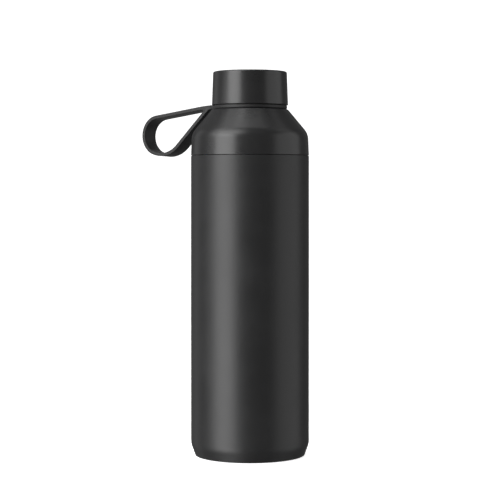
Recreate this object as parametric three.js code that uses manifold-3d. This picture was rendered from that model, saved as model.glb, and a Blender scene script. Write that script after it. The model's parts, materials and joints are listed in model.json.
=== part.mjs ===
// A double-wall insulated water bottle with two openings.
//
// The steel bottle ends at a parting line. A collar screws into its wide mouth, a cap screws onto the
// collar's drinking spout, and a moulded strap turns on the spout between the two.
// Millimetres, +Z up. The origin is the middle of the base pad's underside. The finger loop points along -X.
import * as THREE from "three";
import { mergeVertices } from "three/addons/utils/BufferGeometryUtils.js";
import Module from "manifold-3d";

const wasm = await Module();
wasm.setup();

// ---------------------------------------------------------------- driving dimensions

const segments = 36; // flats round a full turn
const arcStep = THREE.MathUtils.degToRad(31); // largest step along a fillet
const smallFillet = 1.15; // a fillet under this radius is a single flat

const fitGap = 0.3; // between pieces that are welded, clipped or seated together
const slackGap = 0.5; // round loose fillings such as foam

// Steel bottle
const bodyRadius = 44.5;
const bodyHeight = 225.35; // floor to the rim of the wide mouth
const sheet = 0.5; // thickness of every steel sheet
const vacuumGap = 3.7; // between the two walls
const footInset = 3.25; // how far the foot's lower end is drawn in
const footHeight = 9; // upper end of the foot's taper
const footBend = 13;
const padStand = 0.2; // how far the base pad stands below the steel
const panRim = 6.3; // top of the welded bottom's rim, on the foot's straight taper
const padThickness = 2.6;
const grooveWidth = 2; // anti-slip grooves in the base pad
const grooveDepth = 0.6;
const flaskFloor = 9; // underside of the inner flask above the floor
const flaskCorner = 7; // its bottom corner
const mouthStep = 1.5; // how far the mouth is drawn in from the flask
const mouthDepth = 24; // length of the drawn-in mouth
const foilThickness = 0.25;
const portRadius = 1.5; // hole that the air is drawn out through
const portRecess = 2.2; // how far the bottom is raised round that hole
const beadRadius = 4.2; // glass that seals the hole
const getterRadius = 5;
const getterHeight = 2.6;
const getterOffset = 22;

// Collar
const seamGap = 0.4; // the parting line
const shoulderHeight = 34.3; // parting line to the shoulder's flat top
const shoulderOverhang = 0.75; // shoulder's top edge beyond the strap's ring
const coneAngle = THREE.MathUtils.degToRad(39.8); // shoulder's slope from the vertical
const skirtDraft = THREE.MathUtils.degToRad(2.2);
const shoulderBend = 12.5;
const sealThickness = 1.6;
const plugWall = 2.4;
const plugLength = 21; // below the parting line
const flangeThickness = 1.8;
const linerWall = 2;

// Drinking spout
const spoutBore = 20;
const spoutWall = 2.6;
const spoutLip = 14.4; // from the strap's retaining bead to the rim
const spoutInsert = 9.5; // length that sits in the collar liner
const landStep = 1.2; // the strap's bearing land stands out from the spout by this
const beadStep = 1; // and the bead that keeps the strap on stands out from the land by this
const beadHeight = 0.8;
const clampWidth = 3.6; // flange that holds the shoulder from below
const clampThickness = 1.8;
const oRingSection = 1.4;

// Screw threads: "lead" is the rise in one turn, shared by "starts" ridges
const capThread = { starts: 3, lead: 12, turns: 0.5, base: 1.8, crest: 0.9, depth: 1.3 };
const collarThread = { starts: 2, lead: 10, turns: 0.75, base: 2.4, crest: 1.2, depth: 1.2 };
const threadRadialGap = 0.6; // crest of one ridge to the root of its mate
const threadFlankGap = 0.35; // between loaded flanks

// Cap
const capHeight = 25.15;
const capOverhang = 0.7; // cap's lower edge beyond the strap's ring
const capTaper = 0.9; // its radius at the top is less by this
const capWall = 1.4;
const capEdge = 1.3; // rounding of the top edge
const capSealThickness = 1.3;
const capDiscThickness = 0.6;
const capCeiling = 1.4;
const capFoamTop = 0.6; // air over the foam

// Strap
const strapThickness = 2.3;
const strapWidth = 13.6;
const ringThickness = 2.1;
const ringClearance = 0.4; // on the spout's land
const ringWall = 3.85;
const ringGap = 0.35; // below the ring
const capGap = 1.05; // from the ring to the cap
const tailLength = 3.35; // from the ring to the line where the strap bends
const tailRise = 0.85; // how far the tail steps up from the ring
const tailStepStart = 0.3; // from the ring to where the underside starts to rise
const tailStepRun = 1.15; // length of the step
const tailStepLag = 0.7; // how much farther out the top rises
const tailBend = 3; // half the length of the soft bend from the tail into the upper leg
const loopLength = 52.95; // from that line to the middle of the loop's round end
const loopDrop = 19.95; // from the ring to that middle
const loopEndRadius = 14.5; // round end, along the strap's middle
const loopBellyRadius = 23.4; // flatter curve below it
const bellyStart = THREE.MathUtils.degToRad(-70); // where the end hands over to the belly
const upperLegAngle = THREE.MathUtils.degToRad(-7.35);
const lowerLegAngle = THREE.MathUtils.degToRad(-43.6);
const crotchFillet = 1.2;

// ---------------------------------------------------------------- dimensions that follow

const footRadius = bodyRadius - footInset;
const flaskRadius = bodyRadius - 2 * sheet - vacuumGap; // inside of the inner flask
const mouthRadius = flaskRadius - mouthStep;
const outerBore = bodyRadius - sheet;

const collarBase = bodyHeight + seamGap;
const shoulderTop = collarBase + shoulderHeight;
const spoutRadius = spoutBore + spoutWall; // root of the spout's thread
const landRadius = spoutRadius + landStep;
const ringBore = landRadius + ringClearance;
const ringRadius = ringBore + ringWall;
const flexReach = ringRadius + tailLength; // from the bottle's axis
const shoulderTopRadius = ringRadius + shoulderOverhang;
const capBottomRadius = ringRadius + capOverhang;
const capTopRadius = capBottomRadius - capTaper;
const ringBase = shoulderTop + ringGap;
const ringTop = ringBase + ringThickness;
const capBase = ringTop + capGap;
const capTop = capBase + capHeight;
const spoutBeadBase = ringTop + fitGap;
const spoutRim = spoutBeadBase + beadHeight + spoutLip;
const flangeBase = bodyHeight + sealThickness + 2 * fitGap; // flange of the collar liner, over its seal
const flangeTop = flangeBase + flangeThickness;
const plugRadius = mouthRadius - threadRadialGap - collarThread.depth; // root of the plug's thread
const plugBore = plugRadius - plugWall;
const plugBase = collarBase - plugLength;
const clampTop = shoulderTop - sheet - fitGap;
const clampBase = clampTop - clampThickness;
const spoutBase = clampBase - spoutInsert;
const socketBore = spoutRadius + 2 * fitGap;
const socketRadius = socketBore + linerWall;

// Outside radius of the conical shoulder, extended, at height z. "inset" moves the line inwards, at right
// angles to it.
const coneRadius = (z, inset = 0) =>
  shoulderTopRadius + (shoulderTop - z) * Math.tan(coneAngle) - inset / Math.cos(coneAngle);

// Outside radius of the collar's drafted skirt at height z.
const skirtRadius = (z) => bodyRadius - (z - collarBase) * Math.tan(skirtDraft);

// ---------------------------------------------------------------- outlines

const polar = (angle) => new THREE.Vector2(Math.cos(angle), Math.sin(angle));

// The polyline through corners [x, y, radius], with an arc in place of each corner that has a radius.
function rounded(corners, closed = true) {
  const points = [];
  const count = corners.length;
  corners.forEach(([x, y, radius = 0], i) => {
    const corner = new THREE.Vector2(x, y);
    const isEnd = !closed && (i === 0 || i === count - 1);
    if (isEnd || radius <= 0) {
      points.push(corner);
      return;
    }
    const [before, after] = [corners[(i + count - 1) % count], corners[(i + 1) % count]].map(
      ([nx, ny]) => new THREE.Vector2(nx - x, ny - y),
    );
    const reach = Math.min(before.length(), after.length()) / 2;
    before.normalize();
    after.normalize();
    const half = Math.acos(THREE.MathUtils.clamp(before.dot(after), -1, 1)) / 2;
    const cut = Math.min(radius / Math.tan(half), reach);
    const arcRadius = cut * Math.tan(half);
    const centre = before.clone().add(after).normalize();
    centre.multiplyScalar(arcRadius / Math.sin(half)).add(corner);
    const start = before.clone().multiplyScalar(cut).add(corner).sub(centre);
    const turn = Math.PI - 2 * half;
    const sense = before.cross(after) > 0 ? -1 : 1;
    const steps = radius < smallFillet ? 1 : Math.ceil(turn / arcStep);
    for (let k = 0; k <= steps; k++) {
      const spoke = start.clone().rotateAround(new THREE.Vector2(), (sense * turn * k) / steps);
      points.push(centre.clone().add(spoke));
    }
  });
  return points;
}

// The section of a bent sheet. The path [x, y, bend radius] is its face on the right, and its thickness lies
// to the left.
function sheetSection(path, thickness = sheet) {
  const directions = path
    .slice(1)
    .map(([x, y], i) => new THREE.Vector2(x - path[i][0], y - path[i][1]).normalize());
  const far = path.map(([x, y, radius = 0], i) => {
    const [before, after] = [directions[Math.max(i - 1, 0)], directions[Math.min(i, directions.length - 1)]];
    const normals = [before, after].map((d) => new THREE.Vector2(-d.y, d.x));
    const mitre = normals[0].clone().add(normals[1]);
    mitre.multiplyScalar(thickness / (1 + normals[0].dot(normals[1])));
    const farRadius = before.cross(after) > 0 ? radius - thickness : radius + thickness;
    return [x + mitre.x, y + mitre.y, radius ? Math.max(farRadius, 0) : 0];
  });
  const [near, back] = [rounded(path, false), rounded(far, false).reverse()];
  if (near.at(-1).x < 1e-6) return [...back, ...near]; // the path ends on the axis
  return [...near, ...back];
}

// ---------------------------------------------------------------- solids

const looks = {
  powderCoat: { color: 0x242425, roughness: 0.55, metalness: 0.1 },
  steel: { color: 0xb9bcbe, roughness: 0.32, metalness: 1 },
  capPlastic: { color: 0x232324, roughness: 0.5, metalness: 0 },
  linerPlastic: { color: 0x1b1c1d, roughness: 0.45, metalness: 0 },
  strapSilicone: { color: 0x1d1d1e, roughness: 0.7, metalness: 0 },
  sealSilicone: { color: 0xc9c9c5, roughness: 0.6, metalness: 0 },
  foam: { color: 0xe6e3da, roughness: 0.95, metalness: 0 },
  copper: { color: 0xb87449, roughness: 0.3, metalness: 1 },
  glass: { color: 0x9fb4a8, roughness: 0.1, metalness: 0 },
};
for (const key of Object.keys(looks)) looks[key] = new THREE.MeshStandardMaterial(looks[key]);

// A named piece of the bottle.
function piece(name, geometry, look) {
  const mesh = new THREE.Mesh(geometry, look);
  mesh.name = name;
  return mesh;
}

// Revolves a section [radius, height] about Z. The section closes on itself unless it runs from axis to axis.
function revolved(points) {
  const onAxis = points[0].x < 1e-6 && points.at(-1).x < 1e-6;
  const profile = onAxis ? points : [...points, points[0]];
  return new THREE.LatheGeometry(profile, segments).rotateX(Math.PI / 2);
}

// A path's points, without those that repeat the one before.
function outlineOf(path) {
  const points = path.getPoints(7);
  return points.filter((point, i) => point.distanceTo(points.at(i - 1)) > 1e-3);
}

// A slab with an outline in the plane of the bottle's axis and the loop; x runs outwards from the axis. The
// outline and the hole run the same way round, clockwise.
function slab(outline, width, hole = null) {
  const shape = new THREE.Shape(outlineOf(outline));
  if (hole) shape.holes.push(new THREE.Path(outlineOf(hole).reverse()));
  const geometry = new THREE.ExtrudeGeometry(shape, { depth: width, bevelEnabled: false });
  geometry.translate(0, 0, -width / 2);
  return geometry.rotateX(Math.PI / 2).rotateZ(Math.PI);
}

// A geometry as a solid that can be joined or cut, and back.
function solid(geometry) {
  const bare = new THREE.BufferGeometry().setIndex(geometry.index);
  bare.setAttribute("position", geometry.getAttribute("position"));
  const merged = mergeVertices(bare, 1e-4);
  const mesh = new wasm.Mesh({
    numProp: 3,
    vertProperties: merged.attributes.position.array,
    triVerts: new Uint32Array(merged.index.array),
  });
  return new wasm.Manifold(mesh);
}

function geometryOf(manifold) {
  const mesh = manifold.getMesh();
  const geometry = new THREE.BufferGeometry();
  geometry.setAttribute("position", new THREE.BufferAttribute(new Float32Array(mesh.vertProperties), 3));
  return geometry.setIndex(new THREE.BufferAttribute(new Uint32Array(mesh.triVerts), 1));
}

// One ridge of a thread, rising from height z at angle "from". It stands outwards from the wall of that
// radius, or inwards when "inside" is set. Its foot is sunk into the wall, and both ends fade out.
function ridge(thread, radius, z, from, inside) {
  const sunk = 0.4;
  const outwards = inside ? -1 : 1;
  const steps = Math.round(thread.turns * segments);
  const fade = 3; // steps over which an end rises to full height
  const rings = [];
  for (let i = 0; i <= steps; i++) {
    const height = thread.depth * Math.min(1, i / fade, (steps - i) / fade);
    const angle = from + (i / segments) * 2 * Math.PI;
    const rise = z + (i / segments) * thread.lead;
    const halfTop = thread.base / 2 + (thread.crest - thread.base) * (height / thread.depth / 2);
    const section = [
      [-sunk, -thread.base / 2],
      [height, -halfTop],
      [height, halfTop],
      [-sunk, thread.base / 2],
    ];
    rings.push(
      section.map(([out, up]) => {
        const r = radius + outwards * out;
        return [r * Math.sin(angle), -r * Math.cos(angle), rise + up];
      }),
    );
  }
  const corners = rings[0].length;
  const index = [];
  const face = (a, b, c) => index.push(...(inside ? [a, c, b] : [a, b, c]));
  for (let i = 0; i < steps; i++) {
    for (let k = 0; k < corners; k++) {
      const [a, b] = [i * corners + k, i * corners + ((k + 1) % corners)];
      face(a, a + corners, b);
      face(b, a + corners, b + corners);
    }
  }
  const last = steps * corners;
  for (const k of [1, 2]) {
    face(0, k, k + 1);
    face(last, last + k + 1, last + k);
  }
  const geometry = new THREE.BufferGeometry();
  geometry.setAttribute("position", new THREE.Float32BufferAttribute(rings.flat(2), 3));
  return geometry.setIndex(index);
}

// A body with all the ridges of a thread joined to it.
function threaded(body, thread, radius, z, inside = false) {
  let joined = solid(body);
  for (let k = 0; k < thread.starts; k++) {
    joined = joined.add(solid(ridge(thread, radius, z, (k / thread.starts) * 2 * Math.PI, inside)));
  }
  return geometryOf(joined);
}

// How far apart in height two mating ridges lie, so that their loaded flanks stand threadFlankGap apart.
const matingOffset = (thread) => {
  const overlap = (thread.depth - threadRadialGap) / thread.depth;
  return thread.crest + ((thread.base - thread.crest) * overlap) / 2 + threadFlankGap;
};

// ---------------------------------------------------------------- the steel bottle

function outerWall() {
  const path = [
    [footRadius, padStand],
    [bodyRadius, footHeight, footBend],
    [bodyRadius, bodyHeight],
  ];
  return piece("outer_wall", revolved(sheetSection(path)), looks.powderCoat);
}

// Inside radius of the foot's taper at height z.
const footBore = (z) =>
  footRadius + ((z - padStand) / (footHeight - padStand)) * (bodyRadius - footRadius) - sheet;

function outerBottom() {
  const base = padThickness + fitGap;
  const recess = beadRadius + fitGap;
  const path = [
    [portRadius, base + portRecess],
    [recess, base + portRecess],
    [recess + portRecess, base],
    [footBore(base) - 2 * fitGap, base, 1.2],
    [footBore(panRim) - fitGap, panRim],
  ];
  return piece("outer_bottom", revolved(sheetSection(path)), looks.steel);
}

function basePad() {
  const radius = footRadius - sheet - fitGap;
  const corners = [
    [0, 0],
    ...[0.45, 0.7].flatMap((share) => {
      const [near, far] = [radius * share - grooveWidth / 2, radius * share + grooveWidth / 2];
      return [
        [near, 0],
        [near, grooveDepth],
        [far, grooveDepth],
        [far, 0],
      ];
    }),
    [radius - padStand, 0],
    [radius, padStand],
    [radius, padThickness],
    [0, padThickness],
  ];
  return piece("base_pad", revolved(rounded(corners, false)), looks.strapSilicone);
}

function sealBead() {
  const base = padThickness + fitGap;
  const corners = [
    [0, base],
    [beadRadius - 0.8, base],
    [beadRadius, base + 0.8],
    [beadRadius, base + portRecess - fitGap],
    [0, base + portRecess - fitGap],
  ];
  return piece("vacuum_seal_bead", revolved(rounded(corners, false)), looks.glass);
}

function getterCapsule() {
  const base = padThickness + 2 * fitGap + sheet;
  const corners = [
    [0, base],
    [getterRadius, base],
    [getterRadius, base + getterHeight],
    [getterRadius - 0.8, base + getterHeight],
    [getterRadius - 1.2, base + getterHeight - 0.7],
    [0, base + getterHeight - 0.7],
  ];
  const capsule = piece("getter_capsule", revolved(rounded(corners, false)), looks.steel);
  capsule.position.x = getterOffset;
  return capsule;
}

const flaskSplit = flaskFloor + sheet + flaskCorner; // weld between the flask's wall and its bottom

function innerBottom() {
  const path = [
    [0, flaskFloor],
    [flaskRadius + sheet, flaskFloor, flaskCorner],
    [flaskRadius + sheet, flaskSplit],
  ];
  return piece("inner_bottom", revolved(sheetSection(path)), looks.steel);
}

function innerFlask() {
  const neck = bodyHeight - mouthDepth;
  const path = [
    [flaskRadius + sheet, flaskSplit + fitGap],
    [flaskRadius + sheet, neck - 2 * mouthStep, 3],
    [mouthRadius + sheet, neck, 3],
    [mouthRadius + sheet, bodyHeight - sheet, 0.8],
    [outerBore - fitGap, bodyHeight - sheet],
  ];
  const wall = revolved(sheetSection(path));
  const z = plugThreadBase + matingOffset(collarThread);
  return piece("inner_flask", threaded(wall, collarThread, mouthRadius, z, true), looks.steel);
}

function reflectiveFoil() {
  const radius = flaskRadius + sheet + fitGap;
  const [low, high] = [flaskSplit + slackGap, bodyHeight - mouthDepth - 3 * mouthStep];
  const corners = [
    [radius, low],
    [radius + foilThickness, low],
    [radius + foilThickness, high],
    [radius, high],
  ];
  return piece("reflective_foil", revolved(rounded(corners)), looks.copper);
}

// ---------------------------------------------------------------- the collar

const plugThreadBase = plugBase + 5; // first turn of the plug's thread

function shoulderShell() {
  const skirtSlope = Math.tan(skirtDraft);
  const coneSlope = Math.tan(coneAngle);
  const rise = bodyRadius - shoulderTopRadius - skirtSlope * shoulderHeight;
  const bendHeight = shoulderTop - rise / (coneSlope - skirtSlope);
  const path = [
    [bodyRadius, collarBase],
    [skirtRadius(bendHeight), bendHeight, shoulderBend],
    [shoulderTopRadius, shoulderTop, 1],
    [landRadius + fitGap, shoulderTop],
  ];
  return piece("shoulder_shell", revolved(sheetSection(path)), looks.powderCoat);
}

function collarLiner() {
  const flangeRadius = skirtRadius(flangeTop) - sheet - slackGap;
  const socketTop = clampBase - fitGap;
  const socketFloor = spoutBase - fitGap;
  const corners = [
    [plugBore, plugBase, 0.8],
    [plugRadius, plugBase, 0.8],
    [plugRadius, flangeBase],
    [flangeRadius, flangeBase],
    [flangeRadius, flangeTop],
    [plugRadius, flangeTop],
    [socketRadius, socketFloor - linerWall],
    [socketRadius, socketTop],
    [socketBore, socketTop],
    [socketBore, socketFloor],
    [spoutBore, socketFloor],
    [plugBore, flangeBase, 6],
  ];
  const body = revolved(rounded(corners));
  return piece("collar_liner", threaded(body, collarThread, plugRadius, plugThreadBase), looks.linerPlastic);
}

function collarFoam() {
  const low = flangeTop + slackGap;
  const high = clampBase - fitGap;
  const skin = sheet + slackGap;
  const bendHeight = shoulderTop - (bodyRadius - shoulderTopRadius) / Math.tan(coneAngle) - slackGap;
  const corners = [
    [plugRadius + slackGap, low],
    [skirtRadius(bendHeight) - skin, low],
    [Math.min(skirtRadius(bendHeight) - skin, coneRadius(bendHeight, skin)), bendHeight, 6],
    [coneRadius(high, skin), high],
    [socketRadius + slackGap, high],
    [socketRadius + slackGap, spoutBase - fitGap - linerWall + slackGap],
  ];
  return piece("collar_foam", revolved(rounded(corners)), looks.foam);
}

function collarSeal() {
  const base = bodyHeight + fitGap;
  const corners = [
    [plugRadius + fitGap, base],
    [outerBore - 3 * fitGap, base],
    [outerBore - 3 * fitGap, base + sealThickness],
    [plugRadius + fitGap, base + sealThickness],
  ];
  return piece("collar_seal", revolved(rounded(corners)), looks.sealSilicone);
}

// ---------------------------------------------------------------- the drinking spout

const oRingHeight = spoutBase + spoutInsert * 0.45;
const grooveHalf = oRingSection / 2 + fitGap;
const spoutThreadBase = spoutBeadBase + beadHeight + 3.6;

function drinkingSpout() {
  const clampRadius = landRadius + clampWidth;
  const grooveRadius = spoutRadius + fitGap - oRingSection - fitGap;
  const corners = [
    [spoutBore, spoutBase, 0.5],
    [spoutRadius, spoutBase, 0.5],
    [spoutRadius, oRingHeight - grooveHalf],
    [grooveRadius, oRingHeight - grooveHalf],
    [grooveRadius, oRingHeight + grooveHalf],
    [spoutRadius, oRingHeight + grooveHalf],
    [spoutRadius, clampBase],
    [clampRadius, clampBase],
    [clampRadius, clampTop],
    [landRadius, clampTop],
    [landRadius, spoutBeadBase],
    [landRadius + beadStep, spoutBeadBase],
    [landRadius + beadStep, spoutBeadBase + beadHeight],
    [spoutRadius, spoutBeadBase + beadHeight + 0.6],
    [spoutRadius, spoutRim, 1.2],
    [spoutBore, spoutRim, 1.2],
  ];
  const body = revolved(rounded(corners));
  return piece("drinking_spout", threaded(body, capThread, spoutRadius, spoutThreadBase), looks.linerPlastic);
}

function spoutORing() {
  const middle = spoutRadius + fitGap - oRingSection / 2;
  const corners = [-1, 1].flatMap((side) =>
    [-1, 1].map((up) => [
      middle + (side * oRingSection) / 2,
      oRingHeight - (side * up * oRingSection) / 2,
      oRingSection / 2 - 0.05,
    ]),
  );
  return piece("spout_o_ring", revolved(rounded(corners.reverse())), looks.sealSilicone);
}

// ---------------------------------------------------------------- the strap

const ringMiddle = ringBase + ringThickness / 2;
const tailMiddle = ringMiddle + tailRise;

// The side view of the loop, x outwards from the bottle's axis. "side" is +1 for its outer face and -1 for
// its inner face.
function loopCurve(side) {
  const half = (side * strapThickness) / 2;
  const end = new THREE.Vector2(flexReach + loopLength, ringMiddle - loopDrop);
  const belly = end.clone().addScaledVector(polar(bellyStart), loopEndRadius - loopBellyRadius);
  return {
    end,
    belly,
    endRadius: loopEndRadius + half,
    bellyRadius: loopBellyRadius + half,
    endStart: upperLegAngle + Math.PI / 2, // where the upper leg runs into the round end
    bellyEnd: lowerLegAngle - Math.PI / 2, // where the belly runs into the lower leg
  };
}

// Where the straight line of a leg passes a distance x from the bottle's axis, or a height z.
function legAt(curve, upper, { x, z }) {
  const [centre, radius, normal, slope] = upper
    ? [curve.end, curve.endRadius, polar(curve.endStart), Math.tan(upperLegAngle)]
    : [curve.belly, curve.bellyRadius, polar(curve.bellyEnd), Math.tan(lowerLegAngle)];
  const touch = centre.clone().addScaledVector(normal, radius);
  if (x !== undefined) return new THREE.Vector2(x, touch.y + slope * (x - touch.x));
  return new THREE.Vector2(touch.x + (z - touch.y) / slope, z);
}

// Adds the legs' tangent points, the round end and the belly to a path that has reached the upper leg.
function traceLoop(path, curve) {
  path.absarc(curve.end.x, curve.end.y, curve.endRadius, curve.endStart, bellyStart, true);
  path.absarc(curve.belly.x, curve.belly.y, curve.bellyRadius, bellyStart, curve.bellyEnd, true);
}

function strapLoop() {
  const half = ringThickness / 2;
  const [outer, inner] = [loopCurve(1), loopCurve(-1)];
  const shape = new THREE.Path();
  const top = tailMiddle + half;
  const bend = legAt(outer, true, { z: top });
  const past = legAt(outer, true, { x: bend.x + tailBend });
  shape.moveTo(flexReach, top);
  shape.lineTo(bend.x - tailBend, top);
  shape.quadraticCurveTo(bend.x, top, past.x, past.y);
  traceLoop(shape, outer);
  const underside = legAt(outer, false, { z: tailMiddle - half });
  shape.lineTo(underside.x, underside.y);
  shape.lineTo(flexReach, tailMiddle - half);
  shape.absarc(flexReach, tailMiddle, half, -Math.PI / 2, Math.PI / 2, true);

  // The two inner faces meet in a small fillet where the legs part.
  const opening = (upperLegAngle - lowerLegAngle) / 2;
  const bisector = (upperLegAngle + lowerLegAngle) / 2;
  const [above, below] = [legAt(inner, true, { x: bend.x }), legAt(inner, false, { x: bend.x })];
  const closing = Math.tan(upperLegAngle) - Math.tan(lowerLegAngle);
  const crotch = legAt(inner, true, { x: bend.x + (below.y - above.y) / closing });
  const fillet = crotch.clone().addScaledVector(polar(bisector), crotchFillet / Math.sin(opening));
  const hole = new THREE.Path();
  const [from, to] = [lowerLegAngle - Math.PI / 2, upperLegAngle + Math.PI / 2];
  hole.absarc(fillet.x, fillet.y, crotchFillet, from, to, true);
  traceLoop(hole, inner);
  return piece("strap_loop", slab(shape, strapWidth, hole), looks.strapSilicone);
}

function strapRing() {
  const corners = [
    [ringBore, ringBase],
    [ringRadius, ringBase, 0.8],
    [ringRadius, ringTop, 0.8],
    [ringBore, ringTop],
  ];
  const ring = solid(revolved(rounded(corners)));
  const half = ringThickness / 2;
  const tab = new THREE.Path();
  const root = (ringBore + ringRadius) / 2;
  const underStep = ringRadius + tailStepStart;
  const overStep = underStep + tailStepLag;
  tab.moveTo(root, ringBase);
  tab.lineTo(underStep, ringBase);
  tab.lineTo(underStep + tailStepRun, tailMiddle - half);
  tab.lineTo(flexReach, tailMiddle - half);
  tab.lineTo(flexReach, tailMiddle + half);
  tab.lineTo(overStep + tailStepRun, tailMiddle + half);
  tab.lineTo(overStep, ringTop);
  tab.lineTo(root, ringTop);
  const knuckle = new THREE.Path().absarc(flexReach, tailMiddle, half + fitGap, 0, 2 * Math.PI);
  const joined = ring.add(solid(slab(tab, strapWidth)));
  const seat = solid(slab(knuckle, strapWidth + 2));
  return piece("strap_ring", geometryOf(joined.subtract(seat)), looks.strapSilicone);
}

// ---------------------------------------------------------------- the cap

const sealBase = spoutRim + fitGap;
const sealTop = sealBase + capSealThickness;
const ceiling = sealTop + fitGap; // underside of the cap liner's top, over the seal
const capBore = spoutRadius + capThread.depth + threadRadialGap; // root of the liner's thread
const capBoss = spoutBore - 1.8; // boss inside the seal

function capShell() {
  const path = [
    [capBottomRadius, capBase, 0],
    [capTopRadius, capTop, capEdge],
    [0, capTop],
  ];
  return piece("cap_shell", revolved(sheetSection(path, capWall)), looks.capPlastic);
}

// Inside radius of the cap's drafted wall at height z.
const capInside = (z) =>
  capBottomRadius - ((z - capBase) / capHeight) * (capBottomRadius - capTopRadius) - capWall;

function capLiner() {
  const base = capBase + 0.45;
  const wallRadius = capBore + 1.4;
  const bossBase = sealTop - 1;
  const corners = [
    [0, bossBase],
    [capBoss, bossBase],
    [capBoss, ceiling],
    [capBore, ceiling],
    [capBore, base + 1.4],
    [landRadius + beadStep + slackGap, base],
    [capInside(base + 1.5) - fitGap, base],
    [capInside(base + 1.5) - fitGap, base + 1.5],
    [wallRadius, base + 1.5],
    [wallRadius, ceiling + capCeiling],
    [0, ceiling + capCeiling],
  ];
  const body = revolved(rounded(corners, false));
  const z = spoutThreadBase - matingOffset(capThread);
  return piece("cap_liner", threaded(body, capThread, capBore, z, true), looks.linerPlastic);
}

function capFoam() {
  const [low, high] = [ceiling + capCeiling + fitGap, capTop - capWall - capFoamTop];
  const corners = [
    [0, low],
    [capInside(high) - slackGap, low],
    [capInside(high) - slackGap, high, 1],
    [0, high],
  ];
  return piece("cap_foam", revolved(rounded(corners, false)), looks.foam);
}

function capSeal() {
  const [near, far] = [capBoss + fitGap, spoutRadius + threadRadialGap];
  const corners = [
    [near, sealBase],
    [far, sealBase],
    [far, sealTop],
    [near, sealTop],
  ];
  return piece("cap_seal", revolved(rounded(corners)), looks.sealSilicone);
}

function capDisc() {
  const top = sealTop - 1 - fitGap;
  const corners = [
    [0, top - capDiscThickness],
    [capBoss - 0.4, top - capDiscThickness],
    [capBoss - 0.4, top],
    [0, top],
  ];
  return piece("cap_disc", revolved(rounded(corners, false)), looks.steel);
}

// ---------------------------------------------------------------- assembly

const bottle = new THREE.Group();
bottle.add(
  outerWall(),
  outerBottom(),
  basePad(),
  sealBead(),
  getterCapsule(),
  innerBottom(),
  innerFlask(),
  reflectiveFoil(),
);

const collar = new THREE.Group();
collar.add(shoulderShell(), collarLiner(), collarFoam(), collarSeal(), drinkingSpout(), spoutORing());

const strap = new THREE.Group();
strap.add(strapRing(), strapLoop());

const cap = new THREE.Group();
cap.add(capShell(), capLiner(), capFoam(), capSeal(), capDisc());

const waterBottle = new THREE.Group();
waterBottle.add(bottle, collar, strap, cap);

export default waterBottle;
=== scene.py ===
"""Looks of an insulated water bottle: smooth shells, moulded strap, threads, finishes and a studio."""

import json
import logging
import math
from collections.abc import Callable, Iterable, Sequence
from dataclasses import dataclass, field, replace
from enum import Enum

import bmesh
import bpy
from mathutils import Matrix, Vector

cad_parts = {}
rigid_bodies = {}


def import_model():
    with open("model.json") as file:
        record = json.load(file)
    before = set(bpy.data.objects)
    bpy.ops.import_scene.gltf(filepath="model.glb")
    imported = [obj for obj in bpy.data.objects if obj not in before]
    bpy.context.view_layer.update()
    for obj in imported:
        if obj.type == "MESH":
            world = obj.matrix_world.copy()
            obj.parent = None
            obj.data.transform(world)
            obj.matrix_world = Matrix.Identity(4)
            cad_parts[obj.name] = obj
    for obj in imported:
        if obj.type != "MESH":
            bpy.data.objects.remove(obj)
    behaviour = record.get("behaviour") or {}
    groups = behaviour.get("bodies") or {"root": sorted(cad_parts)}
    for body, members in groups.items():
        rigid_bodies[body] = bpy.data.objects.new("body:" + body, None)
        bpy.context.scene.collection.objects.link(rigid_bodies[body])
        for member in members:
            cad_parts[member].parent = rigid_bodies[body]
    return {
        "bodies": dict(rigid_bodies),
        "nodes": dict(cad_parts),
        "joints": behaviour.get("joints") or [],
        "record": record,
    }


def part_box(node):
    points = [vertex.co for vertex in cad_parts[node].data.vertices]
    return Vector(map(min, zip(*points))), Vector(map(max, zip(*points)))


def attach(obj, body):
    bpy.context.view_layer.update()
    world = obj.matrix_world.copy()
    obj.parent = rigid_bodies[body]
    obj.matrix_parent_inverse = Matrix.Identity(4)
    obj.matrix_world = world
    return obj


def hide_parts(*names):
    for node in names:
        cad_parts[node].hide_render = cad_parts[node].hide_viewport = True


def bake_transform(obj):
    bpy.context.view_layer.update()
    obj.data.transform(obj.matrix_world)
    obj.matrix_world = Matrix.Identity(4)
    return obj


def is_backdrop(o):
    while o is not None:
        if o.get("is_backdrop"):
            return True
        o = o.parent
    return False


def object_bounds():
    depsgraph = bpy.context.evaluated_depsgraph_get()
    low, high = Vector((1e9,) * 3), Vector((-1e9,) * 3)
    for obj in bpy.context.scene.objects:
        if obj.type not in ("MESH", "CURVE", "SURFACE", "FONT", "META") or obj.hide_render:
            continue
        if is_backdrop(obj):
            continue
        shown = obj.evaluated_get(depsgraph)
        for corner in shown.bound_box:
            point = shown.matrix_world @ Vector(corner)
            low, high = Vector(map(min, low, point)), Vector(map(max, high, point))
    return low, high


LOG = logging.getLogger("bottle")
MM = 0.001
TURN = 2 * math.pi
STEPS = 144  # faces round a full turn of a spun piece

Point = tuple[float, float]


# ---------------------------------------------------------------- finishes


class Pattern(Enum):
    """The fine surface that a finish shows close up."""

    POWDER = "powder"
    SPARKED = "sparked"
    MOULDED = "moulded"
    TURNED = "turned"
    CELLS = "cells"
    CRINKLED = "crinkled"


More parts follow.
